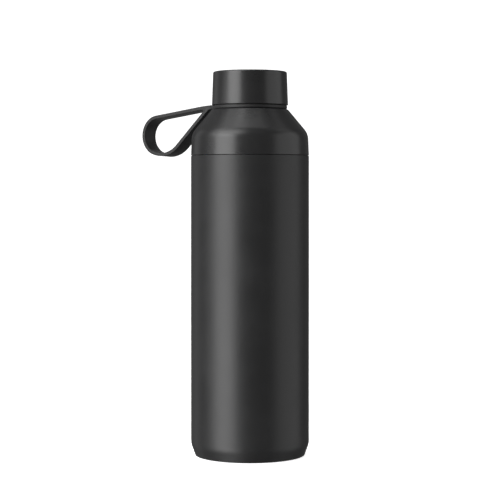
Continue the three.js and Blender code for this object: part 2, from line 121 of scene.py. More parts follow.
@dataclass(frozen=True)
class Finish:
    """One material: its constants, and how far its shared effects reach.

    Attributes:
        name: Material name.
        slot: The record's material slot that the finish stands for; not used.
        pattern: The fine surface.
        color: Base colour, linear RGB.
        worn: Colour that edges and handling bring out.
        roughness: Lowest and highest roughness.
        relief: Height of the fine surface, in metres.
        wear: How strongly edges show, from 0 to 1.
        metallic: 0 or 1.
        specular: Specular level of the Principled shader.
        coat: Weight of a clear gloss over the surface.
        sheen: Weight of the soft dusty sheen.
        subsurface: Weight of light passing into the surface.
        transmission: Weight of light passing through.
    """

    name: str
    slot: str
    pattern: Pattern
    color: tuple[float, float, float]
    worn: tuple[float, float, float]
    roughness: tuple[float, float]
    relief: float
    wear: float = 0.3
    metallic: float = 0.0
    specular: float = 0.5
    coat: float = 0.0
    sheen: float = 0.0
    subsurface: float = 0.0
    transmission: float = 0.0

    def material(self) -> bpy.types.Material:
        """Returns the finish's material, built the first time it is asked for."""
        found = bpy.data.materials.get(self.name)
        if found is not None:
            return found
        made = bpy.data.materials.new(self.name)
        made.use_nodes = True
        tree = Wiring(made.node_tree)
        shader = made.node_tree.nodes["Principled BSDF"]
        for socket, value in {
            "Specular IOR Level": self.specular,
            "Coat Weight": self.coat,
            "Coat Roughness": 0.25,
            "Sheen Weight": self.sheen,
            "Sheen Roughness": 0.45,
            "Subsurface Weight": self.subsurface,
            "Subsurface Scale": 0.002,
            "Transmission Weight": self.transmission,
            "Metallic": self.metallic,
        }.items():
            shader.inputs[socket].default_value = value
        place = tree.node("ShaderNodeTexCoord").outputs["Object"]
        fine = tree.group(pattern_group(self.pattern), Coordinates=place)
        handled = tree.group(handling_group(), Coordinates=place)
        edges = tree.group(edge_group(), Coordinates=place, Amount=self.wear)
        tinted = tree.mix(fine.outputs["Tone"], shade(self.color, 0.86), shade(self.color, 1.14))
        touched = tree.mix(handled.outputs["Smudge"], tinted, shade(self.worn, 0.9), 0.1)
        color = tree.mix(edges.outputs["Edge"], touched, (*self.worn, 1.0))
        low, high = self.roughness
        rough = tree.group(
            roughness_group(),
            Low=low,
            High=high,
            Tone=fine.outputs["Tone"],
            Smudge=handled.outputs["Smudge"],
            Edge=edges.outputs["Edge"],
        )
        bump = tree.node("ShaderNodeBump")
        bump.inputs["Distance"].default_value = self.relief
        tree.join(fine.outputs["Height"], bump.inputs["Height"])
        tree.join(color, shader.inputs["Base Color"])
        tree.join(rough.outputs["Roughness"], shader.inputs["Roughness"])
        tree.join(bump.outputs["Normal"], shader.inputs["Normal"])
        return made


def shade(color: Sequence[float], share: float) -> tuple[float, float, float, float]:
    """Returns a colour made lighter or darker by a share, with full alpha."""
    return (*(min(1.0, c * share) for c in color[:3]), 1.0)


class Wiring:
    """Short calls for building a node tree."""

    def __init__(self, tree: bpy.types.NodeTree) -> None:
        """Works on the tree given."""
        self.tree = tree

    def node(self, kind: str, **inputs: object) -> bpy.types.Node:
        """Adds a node.

        Args:
            kind: The node's type.
            **inputs: Values or sockets for its inputs, with _ for a space in their names.

        Returns:
            The new node.
        """
        made = self.tree.nodes.new(kind)
        for name, value in inputs.items():
            self.feed(made.inputs[name.replace("_", " ")], value)
        return made

    def feed(self, socket: bpy.types.NodeSocket, value: object) -> None:
        """Links a socket to the input, or sets the input's value."""
        if isinstance(value, bpy.types.NodeSocket):
            self.tree.links.new(value, socket)
        else:
            socket.default_value = value

    def join(self, source: bpy.types.NodeSocket, target: bpy.types.NodeSocket) -> None:
        """Links two sockets."""
        self.tree.links.new(source, target)

    def group(self, shared: bpy.types.NodeTree, **inputs: object) -> bpy.types.Node:
        """Adds a shared group with its inputs fed, and returns its node."""
        made = self.tree.nodes.new("ShaderNodeGroup")
        made.node_tree = shared
        for name, value in inputs.items():
            self.feed(made.inputs[name], value)
        return made

    def math(self, operation: str, *values: object) -> bpy.types.NodeSocket:
        """Returns the result of a math node on one to three values or sockets."""
        made = self.tree.nodes.new("ShaderNodeMath")
        made.operation = operation
        for socket, value in zip(made.inputs, values):
            self.feed(socket, value)
        return made.outputs[0]

    def mix(
        self, factor: object, first: object, second: object, share: float = 1.0
    ) -> bpy.types.NodeSocket:
        """Returns the colour between two, at a factor that share scales down."""
        made = self.tree.nodes.new("ShaderNodeMix")
        made.data_type = "RGBA"
        if share != 1.0:
            factor = self.math("MULTIPLY", factor, share)
        self.feed(made.inputs["Factor"], factor)
        self.feed(made.inputs[6], first)
        self.feed(made.inputs[7], second)
        return made.outputs[2]

    def band(self, value: object, low: float, high: float) -> bpy.types.NodeSocket:
        """Returns a value stretched so that low becomes 0 and high becomes 1."""
        made = self.tree.nodes.new("ShaderNodeMapRange")
        made.interpolation_type = "SMOOTHSTEP"
        self.feed(made.inputs["Value"], value)
        self.feed(made.inputs["From Min"], low)
        self.feed(made.inputs["From Max"], high)
        return made.outputs["Result"]

    def scaled(self, vector: object, scale: Sequence[float]) -> bpy.types.NodeSocket:
        """Returns a vector scaled along each axis."""
        made = self.tree.nodes.new("ShaderNodeMapping")
        self.feed(made.inputs["Vector"], vector)
        made.inputs["Scale"].default_value = scale
        return made.outputs["Vector"]

    def noise(self, vector: object, scale: float, detail: float = 3.0) -> bpy.types.NodeSocket:
        """Returns a noise texture's value, from 0 to 1."""
        made = self.node("ShaderNodeTexNoise", Scale=scale, Detail=detail)
        self.feed(made.inputs["Vector"], vector)
        return made.outputs["Fac"]


def shared_group(
    name: str,
    inputs: dict[str, tuple[str, object]],
    outputs: Iterable[str],
    build: Callable[[Wiring, bpy.types.NodeSocket], dict[str, bpy.types.NodeSocket]],
) -> bpy.types.NodeTree:
    """Makes a shader group once, and returns it each time after.

    Args:
        name: The group's name.
        inputs: Each input's name, with its socket type and default value.
        outputs: Names of the float outputs.
        build: Fills the group: takes its wiring and its input node's sockets, and returns a socket for
            each output.

    Returns:
        The group's node tree.
    """
    found = bpy.data.node_groups.get(name)
    if found is not None:
        return found
    made = bpy.data.node_groups.new(name, "ShaderNodeTree")
    for socket_name, (kind, value) in inputs.items():
        socket = made.interface.new_socket(socket_name, in_out="INPUT", socket_type=kind)
        if value is not None:
            socket.default_value = value
    for socket_name in outputs:
        made.interface.new_socket(socket_name, in_out="OUTPUT", socket_type="NodeSocketFloat")
    tree = Wiring(made)
    entry = tree.node("NodeGroupInput")
    leave = tree.node("NodeGroupOutput")
    for socket_name, value in build(tree, entry.outputs).items():
        tree.feed(leave.inputs[socket_name], value)
    return made


COORDINATES = {"Coordinates": ("NodeSocketVector", None)}


def pattern_group(pattern: Pattern) -> bpy.types.NodeTree:
    """Returns the group of a fine surface, which puts out Height and Tone."""

    def build(tree: Wiring, given: bpy.types.NodeSocket) -> dict[str, bpy.types.NodeSocket]:
        """Fills the group with the pattern's textures."""
        place = given["Coordinates"]
        cloudy = tree.noise(place, 60.0)
        if pattern is Pattern.POWDER:
            peel = tree.noise(place, 1500.0, 2.0)
            grit = tree.noise(place, 5200.0, 1.0)
            height = tree.math("MULTIPLY_ADD", grit, 0.45, peel)
            tone = tree.math("MULTIPLY_ADD", tree.math("SUBTRACT", grit, 0.5), 0.8, cloudy)
        elif pattern is Pattern.SPARKED:
            pits = tree.node("ShaderNodeTexVoronoi", Scale=2600.0)
            tree.feed(pits.inputs["Vector"], place)
            pit = pits.outputs["Distance"]
            height = tree.math("MULTIPLY_ADD", pit, 0.7, tree.noise(place, 3600.0, 2.0))
            tone = tree.math("MULTIPLY_ADD", pit, 0.35, tree.math("SUBTRACT", cloudy, 0.1))
        elif pattern is Pattern.MOULDED:
            flow = tree.noise(tree.scaled(place, (1.0, 1.0, 3.5)), 160.0)
            skin = tree.noise(place, 2800.0, 2.0)
            height = tree.math("MULTIPLY_ADD", skin, 0.5, flow)
            tone = tree.math("MULTIPLY_ADD", tree.math("SUBTRACT", skin, 0.5), 0.5, flow)
        elif pattern is Pattern.TURNED:
            lines = tree.noise(tree.scaled(place, (0.02, 0.02, 1.0)), 7000.0)
            swirl = tree.noise(tree.scaled(place, (0.3, 0.3, 1.0)), 420.0)
            height = tree.math("MULTIPLY_ADD", swirl, 0.3, lines)
            tone = tree.math("MULTIPLY_ADD", tree.math("SUBTRACT", lines, 0.5), 0.7, swirl)
        elif pattern is Pattern.CELLS:
            cells = tree.node("ShaderNodeTexVoronoi", Scale=900.0)
            tree.feed(cells.inputs["Vector"], place)
            cell = cells.outputs["Distance"]
            height = tree.math("MULTIPLY_ADD", cloudy, 0.5, cell)
            tone = tree.math("MULTIPLY_ADD", cell, 0.8, tree.math("MULTIPLY", cloudy, 0.4))
        else:
            folds = tree.node("ShaderNodeTexVoronoi", Scale=130.0)
            folds.feature = "DISTANCE_TO_EDGE"
            tree.feed(folds.inputs["Vector"], place)
            height = tree.band(folds.outputs["Distance"], 0.0, 0.25)
            tone = tree.math("MULTIPLY_ADD", height, 0.4, tree.math("MULTIPLY", cloudy, 0.6))
        return {"Height": height, "Tone": tone}

    return shared_group(f"Surface {pattern.value}", COORDINATES, ("Height", "Tone"), build)


def handling_group() -> bpy.types.NodeTree:
    """Returns the group of broad marks that hands and wiping leave, which puts out Smudge."""

    def build(tree: Wiring, given: bpy.types.NodeSocket) -> dict[str, bpy.types.NodeSocket]:
        """Fills the group: broad clouds broken up by finer ones."""
        place = given["Coordinates"]
        broad = tree.band(tree.noise(place, 24.0, 4.0), 0.42, 0.72)
        fine = tree.noise(tree.scaled(place, (1.0, 1.0, 0.4)), 260.0)
        return {"Smudge": tree.math("MULTIPLY", broad, fine)}

    return shared_group("Handling", COORDINATES, ("Smudge",), build)


def edge_group() -> bpy.types.NodeTree:
    """Returns the group that finds edges, where a finish rubs lighter. It puts out Edge."""

    def build(tree: Wiring, given: bpy.types.NodeSocket) -> dict[str, bpy.types.NodeSocket]:
        """Fills the group: the angle between the true and a rounded normal, broken up by noise."""
        rounded = tree.node("ShaderNodeBevel", Radius=0.0007)
        rounded.samples = 4
        true = tree.node("ShaderNodeNewGeometry").outputs["Normal"]
        dot = tree.tree.nodes.new("ShaderNodeVectorMath")
        dot.operation = "DOT_PRODUCT"
        tree.feed(dot.inputs[0], rounded.outputs["Normal"])
        tree.feed(dot.inputs[1], true)
        corner = tree.band(tree.math("SUBTRACT", 1.0, dot.outputs["Value"]), 0.01, 0.22)
        broken = tree.band(tree.noise(given["Coordinates"], 700.0), 0.3, 0.62)
        rubbed = tree.math("MULTIPLY", corner, broken)
        return {"Edge": tree.math("MULTIPLY", rubbed, given["Amount"])}

    inputs = {**COORDINATES, "Amount": ("NodeSocketFloat", 0.3)}
    return shared_group("Edge rub", inputs, ("Edge",), build)


def roughness_group() -> bpy.types.NodeTree:
    """Returns the group that places the roughness between two limits, smoother where it is rubbed."""

    def build(tree: Wiring, given: bpy.types.NodeSocket) -> dict[str, bpy.types.NodeSocket]:
        """Fills the group: tone and smudges spread the roughness, edges polish it."""
        spread = tree.math("MULTIPLY_ADD", given["Smudge"], 0.6, tree.math("MULTIPLY", given["Tone"], 0.7))
        polished = tree.math("SUBTRACT", spread, tree.math("MULTIPLY", given["Edge"], 0.6))
        room = tree.math("SUBTRACT", given["High"], given["Low"])
        placed = tree.math("MULTIPLY_ADD", polished, room, given["Low"])
        return {"Roughness": tree.math("MAXIMUM", placed, 0.05)}

    starting = {"Low": 0.3, "High": 0.6, "Tone": 0.5, "Smudge": 0.0, "Edge": 0.0}
    inputs = {name: ("NodeSocketFloat", value) for name, value in starting.items()}
    return shared_group("Roughness range", inputs, ("Roughness",), build)


POWDER_COAT = Finish(
    name="Powder coat",
    slot="powder_coat",
    pattern=Pattern.POWDER,
    color=(0.0135, 0.0135, 0.0138),
    worn=(0.045, 0.045, 0.046),
    roughness=(0.34, 0.46),
    relief=0.00001,
    wear=0.25,
    specular=0.42,
)
SHOULDER_COAT = replace(
    POWDER_COAT, name="Shoulder coat", roughness=(0.25, 0.34), relief=0.000008, specular=0.5
)
CAP_BLACK = Finish(
    name="Cap black",
    slot="cap_plastic",
    pattern=Pattern.SPARKED,
    color=(0.0135, 0.0135, 0.0138),
    worn=(0.05, 0.05, 0.05),
    roughness=(0.25, 0.34),
    relief=0.000008,
    wear=0.25,
)
LINER_BLACK = Finish(
    name="Liner black",
    slot="liner_plastic",
    pattern=Pattern.MOULDED,
    color=(0.018, 0.018, 0.019),
    worn=(0.06, 0.06, 0.062),
    roughness=(0.3, 0.45),
    relief=0.000008,
)
STRAP_BLACK = Finish(
    name="Strap silicone",
    slot="strap_silicone",
    pattern=Pattern.MOULDED,
    color=(0.0085, 0.0085, 0.0087),
    worn=(0.042, 0.042, 0.043),
    roughness=(0.48, 0.62),
    relief=0.00001,
    wear=0.4,
    specular=0.4,
    sheen=0.05,
)
STEEL = Finish(
    name="Brushed steel",
    slot="steel",
    pattern=Pattern.TURNED,
    color=(0.53, 0.525, 0.515),
    worn=(0.72, 0.71, 0.7),
    roughness=(0.2, 0.36),
    relief=0.000006,
    wear=0.35,
    metallic=1.0,
)
SEAL_GREY = Finish(
    name="Seal silicone",
    slot="seal_silicone",
    pattern=Pattern.MOULDED,
    color=(0.5, 0.5, 0.48),
    worn=(0.62, 0.61, 0.59),
    roughness=(0.36, 0.52),
    relief=0.000006,
    wear=0.2,
    subsurface=0.35,
)
FOAM = Finish(
    name="Foam",
    slot="foam",
    pattern=Pattern.CELLS,
    color=(0.66, 0.62, 0.53),
    worn=(0.5, 0.46, 0.38),
    roughness=(0.8, 0.95),
    relief=0.00025,
)
COPPER = Finish(
    name="Copper foil",
    slot="copper",
    pattern=Pattern.CRINKLED,
    color=(0.75, 0.36, 0.2),
    worn=(0.85, 0.5, 0.33),
    roughness=(0.15, 0.4),
    relief=0.0001,
    metallic=1.0,
)
SEAL_GLASS = Finish(
    name="Sealing glass",
    slot="glass",
    pattern=Pattern.MOULDED,
    color=(0.36, 0.45, 0.4),
    worn=(0.5, 0.6, 0.55),
    roughness=(0.05, 0.2),
    relief=0.00002,
    wear=0.1,
    coat=0.6,
    transmission=0.4,
)


# ---------------------------------------------------------------- shapes


@dataclass(frozen=True)
class Corner:
    """A corner of a section, in millimetres: its distance from the axis, its height and its rounding."""

    r: float
    z: float
    fillet: float = 0.0


def heading(angle: float) -> Vector:
    """Returns the unit vector at an angle from the first axis of a flat drawing."""
    return Vector((math.cos(angle), math.sin(angle)))


def rounded(corners: Sequence[Corner], closed: bool, arc_steps: int = 5) -> list[Point]:
    """Turns corners into a polyline with arcs, and a support point just outside each arc.

    Args:
        corners: The section's corners in order.
        closed: Whether the last corner joins the first.
        arc_steps: Edges in an arc of a right angle; flatter arcs take fewer, down to 3.

    Returns:
        The polyline's points, in millimetres.
    """
    points: list[Point] = []
    count = len(corners)
    for i, corner in enumerate(corners):
        here = Vector((corner.r, corner.z))
        at_end = not closed and i in (0, count - 1)
        if at_end or corner.fillet <= 0:
            points.append(tuple(here))
            continue
        arms = []
        for other in (corners[i - 1], corners[(i + 1) % count]):
            arms.append(Vector((other.r, other.z)) - here)
        reach = min(arm.length for arm in arms) * 0.49
        before, after = (arm.normalized() for arm in arms)
        half = before.angle(after) / 2
        cut = min(corner.fillet / math.tan(half), reach)
        radius = cut * math.tan(half)
        centre = here + (before + after).normalized() * (radius / math.sin(half))
        support = min(0.35, cut * 0.35, reach - cut + 1e-4)
        if support > 0.02:
            points.append(tuple(here + before * (cut + support)))
        spoke = here + before * cut - centre
        turn = math.pi - 2 * half
        sense = -1 if before.cross(after) > 0 else 1
        steps = max(3, math.ceil(arc_steps * turn / (math.pi / 2)), math.ceil(radius * turn / 1.6))
        for k in range(steps + 1):
            angle = sense * turn * k / steps
            turned = Matrix.Rotation(angle, 2) @ spoke
            points.append(tuple(centre + turned))
        if support > 0.02:
            points.append(tuple(here + after * (cut + support)))
    return points


def spin_section(bm: bmesh.types.BMesh, points: Sequence[Point], closed: bool, steps: int = STEPS) -> None:
    """Spins a section, in millimetres, into a surface of revolution about Z.

    Args:
        bm: Where the surface goes.
        points: The section's points (distance from the axis, height).
        closed: Whether the last point joins the first.
        steps: Faces round the full turn.
    """
    verts = [bm.verts.new((r * MM, 0.0, z * MM)) for r, z in points]
    pairs = list(zip(verts, verts[1:]))
    if closed:
        pairs.append((verts[-1], verts[0]))
    edges = [bm.edges.new(pair) for pair in pairs]
    bmesh.ops.spin(
        bm,
        geom=[*verts, *edges],
        cent=(0, 0, 0),
        axis=(0, 0, 1),
        angle=TURN,
        steps=steps,
        use_merge=True,
        use_duplicate=False,
    )
    on_axis = [v for v in bm.verts if math.hypot(v.co.x, v.co.y) < 1e-7]
    bmesh.ops.remove_doubles(bm, verts=on_axis, dist=1e-6)
    bmesh.ops.dissolve_degenerate(bm, edges=bm.edges[:], dist=1e-7)


def finish_mesh(bm: bmesh.types.BMesh, name: str, finish: Finish, sharp: float = 32.0) -> bpy.types.Object:
    """Turns a bmesh into an object in the row frame.

    Args:
        bm: The shape, in metres. It is freed.
        name: The object's name.
        finish: Its material.
        sharp: Edges bent by more than this many degrees are drawn as edges.

    Returns:
        The object, linked to the scene.
    """
    bmesh.ops.recalc_face_normals(bm, faces=bm.faces[:])
    limit = math.radians(sharp)
    for face in bm.faces:
        face.smooth = True
    for edge in bm.edges:
        edge.smooth = not (edge.is_manifold and edge.calc_face_angle(0.0) > limit)
    mesh = bpy.data.meshes.new(name)
    bm.to_mesh(mesh)
    bm.free()
    mesh.materials.append(finish.material())
    made = bpy.data.objects.new(name, mesh)
    bpy.context.scene.collection.objects.link(made)
    return made


def spun(name: str, finish: Finish, corners: Sequence[Corner], closed: bool = True) -> bpy.types.Object:
    """Returns an object spun from the corners of its section."""
    bm = bmesh.new()
    spin_section(bm, rounded(corners, closed), closed)
    return finish_mesh(bm, name, finish)


def threaded(
    name: str,
    finish: Finish,
    corners: Sequence[Corner],
    thread: "Thread",
    wall: Point,
    inside: bool,
    closed: bool = True,
) -> bpy.types.Object:
    """Returns an object spun from its section, with a thread on one of its walls.

    Args:
        name: The object's name.
        finish: Its material.
        corners: The section's corners.
        thread: The ridges.
        wall: The wall's radius, and the height where the first ridge starts, in millimetres.
        inside: Whether the ridges stand inwards.
        closed: Whether the section's last corner joins the first.

    Returns:
        The object, linked to the scene.
    """
    bm = bmesh.new()
    spin_section(bm, rounded(corners, closed), closed)
    thread.add(bm, *wall, inside)
    return finish_mesh(bm, name, finish)


def sheet_corners(path: Sequence[Corner], thickness: float) -> list[Corner]:
    """Returns the closed section of a bent sheet.

    Args:
        path: The face on the right of the sheet, going along it.
        thickness: How far the sheet reaches to the left, in millimetres.

    Returns:
        The section's corners: the path, then the far face coming back.
    """
    spots = [Vector((c.r, c.z)) for c in path]
    runs = [(b - a).normalized() for a, b in zip(spots, spots[1:])]
    far = []
    for i, corner in enumerate(path):
        before, after = runs[max(i - 1, 0)], runs[min(i, len(runs) - 1)]
        left = [Vector((-run.y, run.x)) for run in (before, after)]
        mitre = (left[0] + left[1]) * (thickness / (1 + left[0].dot(left[1])))
        grown = corner.fillet - thickness if before.cross(after) > 0 else corner.fillet + thickness
        radius = max(grown, 0.05) if corner.fillet else 0.0
        far.append(Corner(corner.r + mitre.x, corner.z + mitre.y, radius))
    return [*path, *reversed(far)]


@dataclass(frozen=True)
class Thread:
    """A screw thread's ridges, in millimetres.

    Attributes:
        starts: How many ridges share the thread.
        lead: Rise in one turn.
        turns: Length of each ridge, in turns.
        base: Height of a ridge at the wall.
        crest: Height of its flat outer face.
        depth: How far it stands out.
        rise: From the end of the male piece's wall to the first ridge.
        mate: From the first male ridge up to the first female one.
    """

    starts: int
    lead: float
    turns: float
    base: float
    crest: float
    depth: float
    rise: float
    mate: float

    def add(self, bm: bmesh.types.BMesh, radius: float, z: float, inside: bool) -> None:
        """Adds the ridges to a wall.

        Args:
            bm: Where the ridges go.
            radius: The wall's radius.
            z: Height of the first ridge's lower end.
            inside: Whether they stand inwards.
        """
        for k in range(self.starts):
            self._ridge(bm, radius, z, TURN * k / self.starts - math.pi / 2, inside)

    def _ridge(self, bm: bmesh.types.BMesh, radius: float, z: float, start: float, inside: bool) -> None:
        """Spins one rounded section along the helix, and fades its ends into the wall."""
        out = -1 if inside else 1
        sunk = 0.35
        half = (self.base / 2, self.crest / 2)
        section = [
            (-sunk, -half[0]),
            (0.0, -half[0]),
            (self.depth * 0.8, -half[1] * 1.15),
            (self.depth, -half[1] * 0.7),
            (self.depth, half[1] * 0.7),
            (self.depth * 0.8, half[1] * 1.15),
            (0.0, half[0]),
            (-sunk, half[0]),
        ]
        verts = [bm.verts.new(((radius + out * x) * MM, 0.0, (z + y) * MM)) for x, y in section]
        face = bm.faces.new(verts)
        bmesh.ops.rotate(bm, verts=verts, cent=(0, 0, 0), matrix=Matrix.Rotation(start, 3, "Z"))
        steps = round(self.turns * STEPS)
        before = set(bm.verts) - set(verts)
        bmesh.ops.spin(
            bm,
            geom=[face],
            cent=(0, 0, 0),
            axis=(0, 0, 1),
            angle=TURN * self.turns,
            dvec=(0, 0, self.lead * self.turns * MM / steps),
            steps=steps,
            use_duplicate=False,
        )
        wall = radius * MM
        for vert in set(bm.verts) - before:
            reach = math.hypot(vert.co.x, vert.co.y)
            stand = (reach - wall) * out
            if stand <= 0:
                continue
            angle = (math.atan2(vert.co.y, vert.co.x) - start) % TURN
            along = min(angle, TURN * self.turns - angle) / math.radians(16)
            keep = math.sin(max(0.0, min(1.0, along)) * math.pi / 2)
            vert.co.xy *= (wall + out * stand * keep) / reach


CAP_THREAD = Thread(starts=3, lead=12.0, turns=0.5, base=1.8, crest=0.9, depth=1.3, rise=4.4, mate=-1.49)
COLLAR_THREAD = Thread(starts=2, lead=10.0, turns=0.75, base=2.4, crest=1.2, depth=1.2, rise=5.0, mate=1.85)


@dataclass(frozen=True)
class Extent:
    """Where a round CAD node lies, in millimetres."""

    radius: float
    low: float
    high: float

    @classmethod
    def of(cls, node: str) -> "Extent":
        """Returns the extent of a CAD node centred on the axis."""
        low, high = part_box(node)
        return cls(high.y / MM, low.z / MM, high.z / MM)


@dataclass
class Assembly:
    """A group of pieces that the bottle is made of.

    Attributes:
        body: The CAD body they ride on.
        pieces: What has been made so far.
    """

    body: str
    pieces: list[bpy.types.Object] = field(default_factory=list)

    def keep(self, piece: bpy.types.Object, *nodes: str) -> bpy.types.Object:
        """Makes a piece ride on the body in place of CAD nodes, and reports it."""
        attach(piece, self.body)
        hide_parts(*nodes)
        self.pieces.append(piece)
        LOG.info("%s: %d faces, for %s", piece.name, len(piece.data.polygons), ", ".join(nodes))
        return piece

    def carry(self, frame: dict, node: str, finish: Finish) -> None:
        """Gives a CAD node that stays in view its material."""
        mesh = frame["nodes"][node].data
        mesh.materials.clear()
        mesh.materials.append(finish.material())
        LOG.info("%s: CAD node with %s", node, finish.name)


@dataclass
class SteelBottle(Assembly):
    """The double-wall bottle: outer wall, flask, bottom and pad. Sizes in millimetres."""

    body: str = "bottle"
    foot_inset: float = 3.25
    foot_height: float = 9.0
    foot_fillet: float = 13.0
    sheet: float = 0.5
    mouth_step: float = 1.5
    mouth_depth: float = 24.0
    groove_width: float = 2.0
    groove_depth: float = 0.6

    def build(self, frame: dict) -> None:
        """Makes the bottle's pieces."""
        self._outer_wall()
        self._flask()
        self._inner_bottom()
        self._pad()
        for node, finish in {
            "outer_bottom": STEEL,
            "vacuum_seal_bead": SEAL_GLASS,
            "getter_capsule": STEEL,
            "reflective_foil": COPPER,
        }.items():
            self.carry(frame, node, finish)

    def _outer_wall(self) -> None:
        """The coated wall with its tapered foot; the rim at the top is bare and rounded."""
        wall = Extent.of("outer_wall")
        foot = wall.radius - self.foot_inset
        path = [
            Corner(foot, wall.low),
            Corner(wall.radius, self.foot_height, self.foot_fillet),
            Corner(wall.radius, wall.high),
        ]
        section = sheet_corners(path, self.sheet)
        edged = [Corner(c.r, c.z, c.fillet or 0.2) for c in section]
        self.keep(spun("Outer_wall", POWDER_COAT, edged), "outer_wall")

    def _flask(self) -> None:
        """The steel flask's wall, its drawn-in mouth and the mouth's thread."""
        flask = Extent.of("inner_flask")
        inside = Extent.of("inner_bottom").radius
        mouth = inside - self.mouth_step
        neck = flask.high - self.mouth_depth
        path = [
            Corner(inside, flask.low),
            Corner(inside, neck - 2 * self.mouth_step, 3.0),
            Corner(mouth, neck, 3.0),
            Corner(mouth, flask.high - self.sheet, 0.8),
            Corner(flask.radius, flask.high - self.sheet),
        ]
        section = sheet_corners(path, self.sheet)
        start = Extent.of("collar_liner").low + COLLAR_THREAD.rise + COLLAR_THREAD.mate
        wall = (mouth - self.sheet, start)
        self.keep(threaded("Inner_flask", STEEL, section, COLLAR_THREAD, wall, True), "inner_flask")

    def _inner_bottom(self) -> None:
        """The flask's dished bottom."""
        bottom = Extent.of("inner_bottom")
        path = [
            Corner(0.0, bottom.low),
            Corner(bottom.radius, bottom.low, bottom.high - bottom.low - 0.05),
            Corner(bottom.radius, bottom.high),
        ]
        self.keep(spun("Inner_bottom", STEEL, sheet_corners(path, self.sheet), False), "inner_bottom")

    def _pad(self) -> None:
        """The non-slip pad with two ring grooves and a soft edge."""
        pad = Extent.of("base_pad")
        corners = [Corner(0.0, pad.low)]
        for share in (0.45, 0.7):
            near = pad.radius * share - self.groove_width / 2
            far = near + self.groove_width
            corners += [
                Corner(near, pad.low, 0.25),
                Corner(near, pad.low + self.groove_depth, 0.2),
                Corner(far, pad.low + self.groove_depth, 0.2),
                Corner(far, pad.low, 0.25),
            ]
        corners += [
            Corner(pad.radius - 0.5, pad.low, 0.3),
            Corner(pad.radius, pad.low + 0.6, 0.3),
            Corner(pad.radius, pad.high, 0.2),
            Corner(0.0, pad.high),
        ]
        self.keep(spun("Base_pad", STRAP_BLACK, corners, False), "base_pad")


@dataclass
class Collar(Assembly):
    """The screw-on collar: coated shoulder, liner with its plug, and drinking spout. Sizes in millimetres."""

    body: str = "collar"
    sheet: float = 0.5
    cone_slope: float = math.tan(math.radians(39.8))
    skirt_slope: float = math.tan(math.radians(2.2))
    shoulder_bend: float = 12.5
    top_radius: float = 28.8
    hole_radius: float = 24.1
    plug_length: float = 21.0
    plug_radius: float = 36.5
    plug_wall: float = 2.4
    flange_base: float = 227.55
    flange_thickness: float = 1.8
    socket_wall: float = 2.0
    spout_bore: float = 20.0
    spout_wall: float = 2.6
    land_step: float = 1.2
    bead_step: float = 1.0

    def build(self, frame: dict) -> None:
        """Makes the collar's pieces."""
        self._shoulder()
        self._liner()
        self._spout()
        self.carry(frame, "collar_foam", FOAM)
        self.carry(frame, "spout_o_ring", SEAL_GREY)

    def _shoulder(self) -> None:
        """The coated shell: short drafted skirt, soft bend, cone, flat top."""
        shell = Extent.of("shoulder_shell")
        rise = shell.radius - self.top_radius - self.skirt_slope * (shell.high - shell.low)
        bend = shell.high - rise / (self.cone_slope - self.skirt_slope)
        path = [
            Corner(shell.radius, shell.low),
            Corner(shell.radius - (bend - shell.low) * self.skirt_slope, bend, self.shoulder_bend),
            Corner(self.top_radius, shell.high, 0.8),
            Corner(self.hole_radius, shell.high),
        ]
        section = sheet_corners(path, self.sheet)
        edged = [Corner(c.r, c.z, c.fillet or 0.15) for c in section]
        self.keep(spun("Shoulder", SHOULDER_COAT, edged), "shoulder_shell")

    def _liner(self) -> None:
        """The moulded liner: threaded plug, flange, funnel and the spout's socket."""
        liner = Extent.of("collar_liner")
        spout = Extent.of("drinking_spout")
        bore = self.plug_radius - self.plug_wall
        socket = self.spout_bore + self.spout_wall + 0.6
        flange_top = self.flange_base + self.flange_thickness
        corners = [
            Corner(bore, liner.low, 0.8),
            Corner(self.plug_radius, liner.low, 1.0),
            Corner(self.plug_radius, self.flange_base, 0.3),
            Corner(liner.radius, self.flange_base, 0.4),
            Corner(liner.radius, flange_top, 0.4),
            Corner(self.plug_radius, flange_top, 0.3),
            Corner(socket + self.socket_wall, spout.low - 0.3 - self.socket_wall, 0.3),
            Corner(socket + self.socket_wall, liner.high, 0.3),
            Corner(socket, liner.high, 0.3),
            Corner(socket, spout.low - 0.3, 0.2),
            Corner(self.spout_bore, spout.low - 0.3, 0.3),
            Corner(bore, self.flange_base, 6.0),
        ]
        wall = (self.plug_radius, liner.low + COLLAR_THREAD.rise)
        piece = threaded("Collar_liner", LINER_BLACK, corners, COLLAR_THREAD, wall, False)
        self.keep(piece, "collar_liner")

    def _spout(self) -> None:
        """The drinking spout: clamp flange, bearing land, retaining bead, thread and rounded lip."""
        spout = Extent.of("drinking_spout")
        ring = Extent.of("strap_ring")
        clamp_top = Extent.of("shoulder_shell").high - self.sheet - 0.3
        root = self.spout_bore + self.spout_wall
        land = root + self.land_step
        bead = ring.high + 0.3
        groove = (spout.low + 3.275, spout.low + 5.275)
        corners = [
            Corner(self.spout_bore, spout.low, 0.4),
            Corner(root, spout.low, 0.4),
            Corner(root, groove[0], 0.1),
            Corner(root - 1.4, groove[0], 0.1),
            Corner(root - 1.4, groove[1], 0.1),
            Corner(root, groove[1], 0.1),
            Corner(root, clamp_top - 1.8, 0.3),
            Corner(spout.radius, clamp_top - 1.8, 0.3),
            Corner(spout.radius, clamp_top, 0.3),
            Corner(land, clamp_top, 0.2),
            Corner(land, bead, 0.15),
            Corner(land + self.bead_step, bead, 0.3),
            Corner(land + self.bead_step, bead + 0.8, 0.3),
            Corner(root, bead + 1.4, 0.4),
            Corner(root, spout.high, 1.25),
            Corner(self.spout_bore, spout.high, 1.25),
        ]
        wall = (root, bead + CAP_THREAD.rise)
        piece = threaded("Drinking_spout", LINER_BLACK, corners, CAP_THREAD, wall, False)
        self.keep(piece, "drinking_spout")


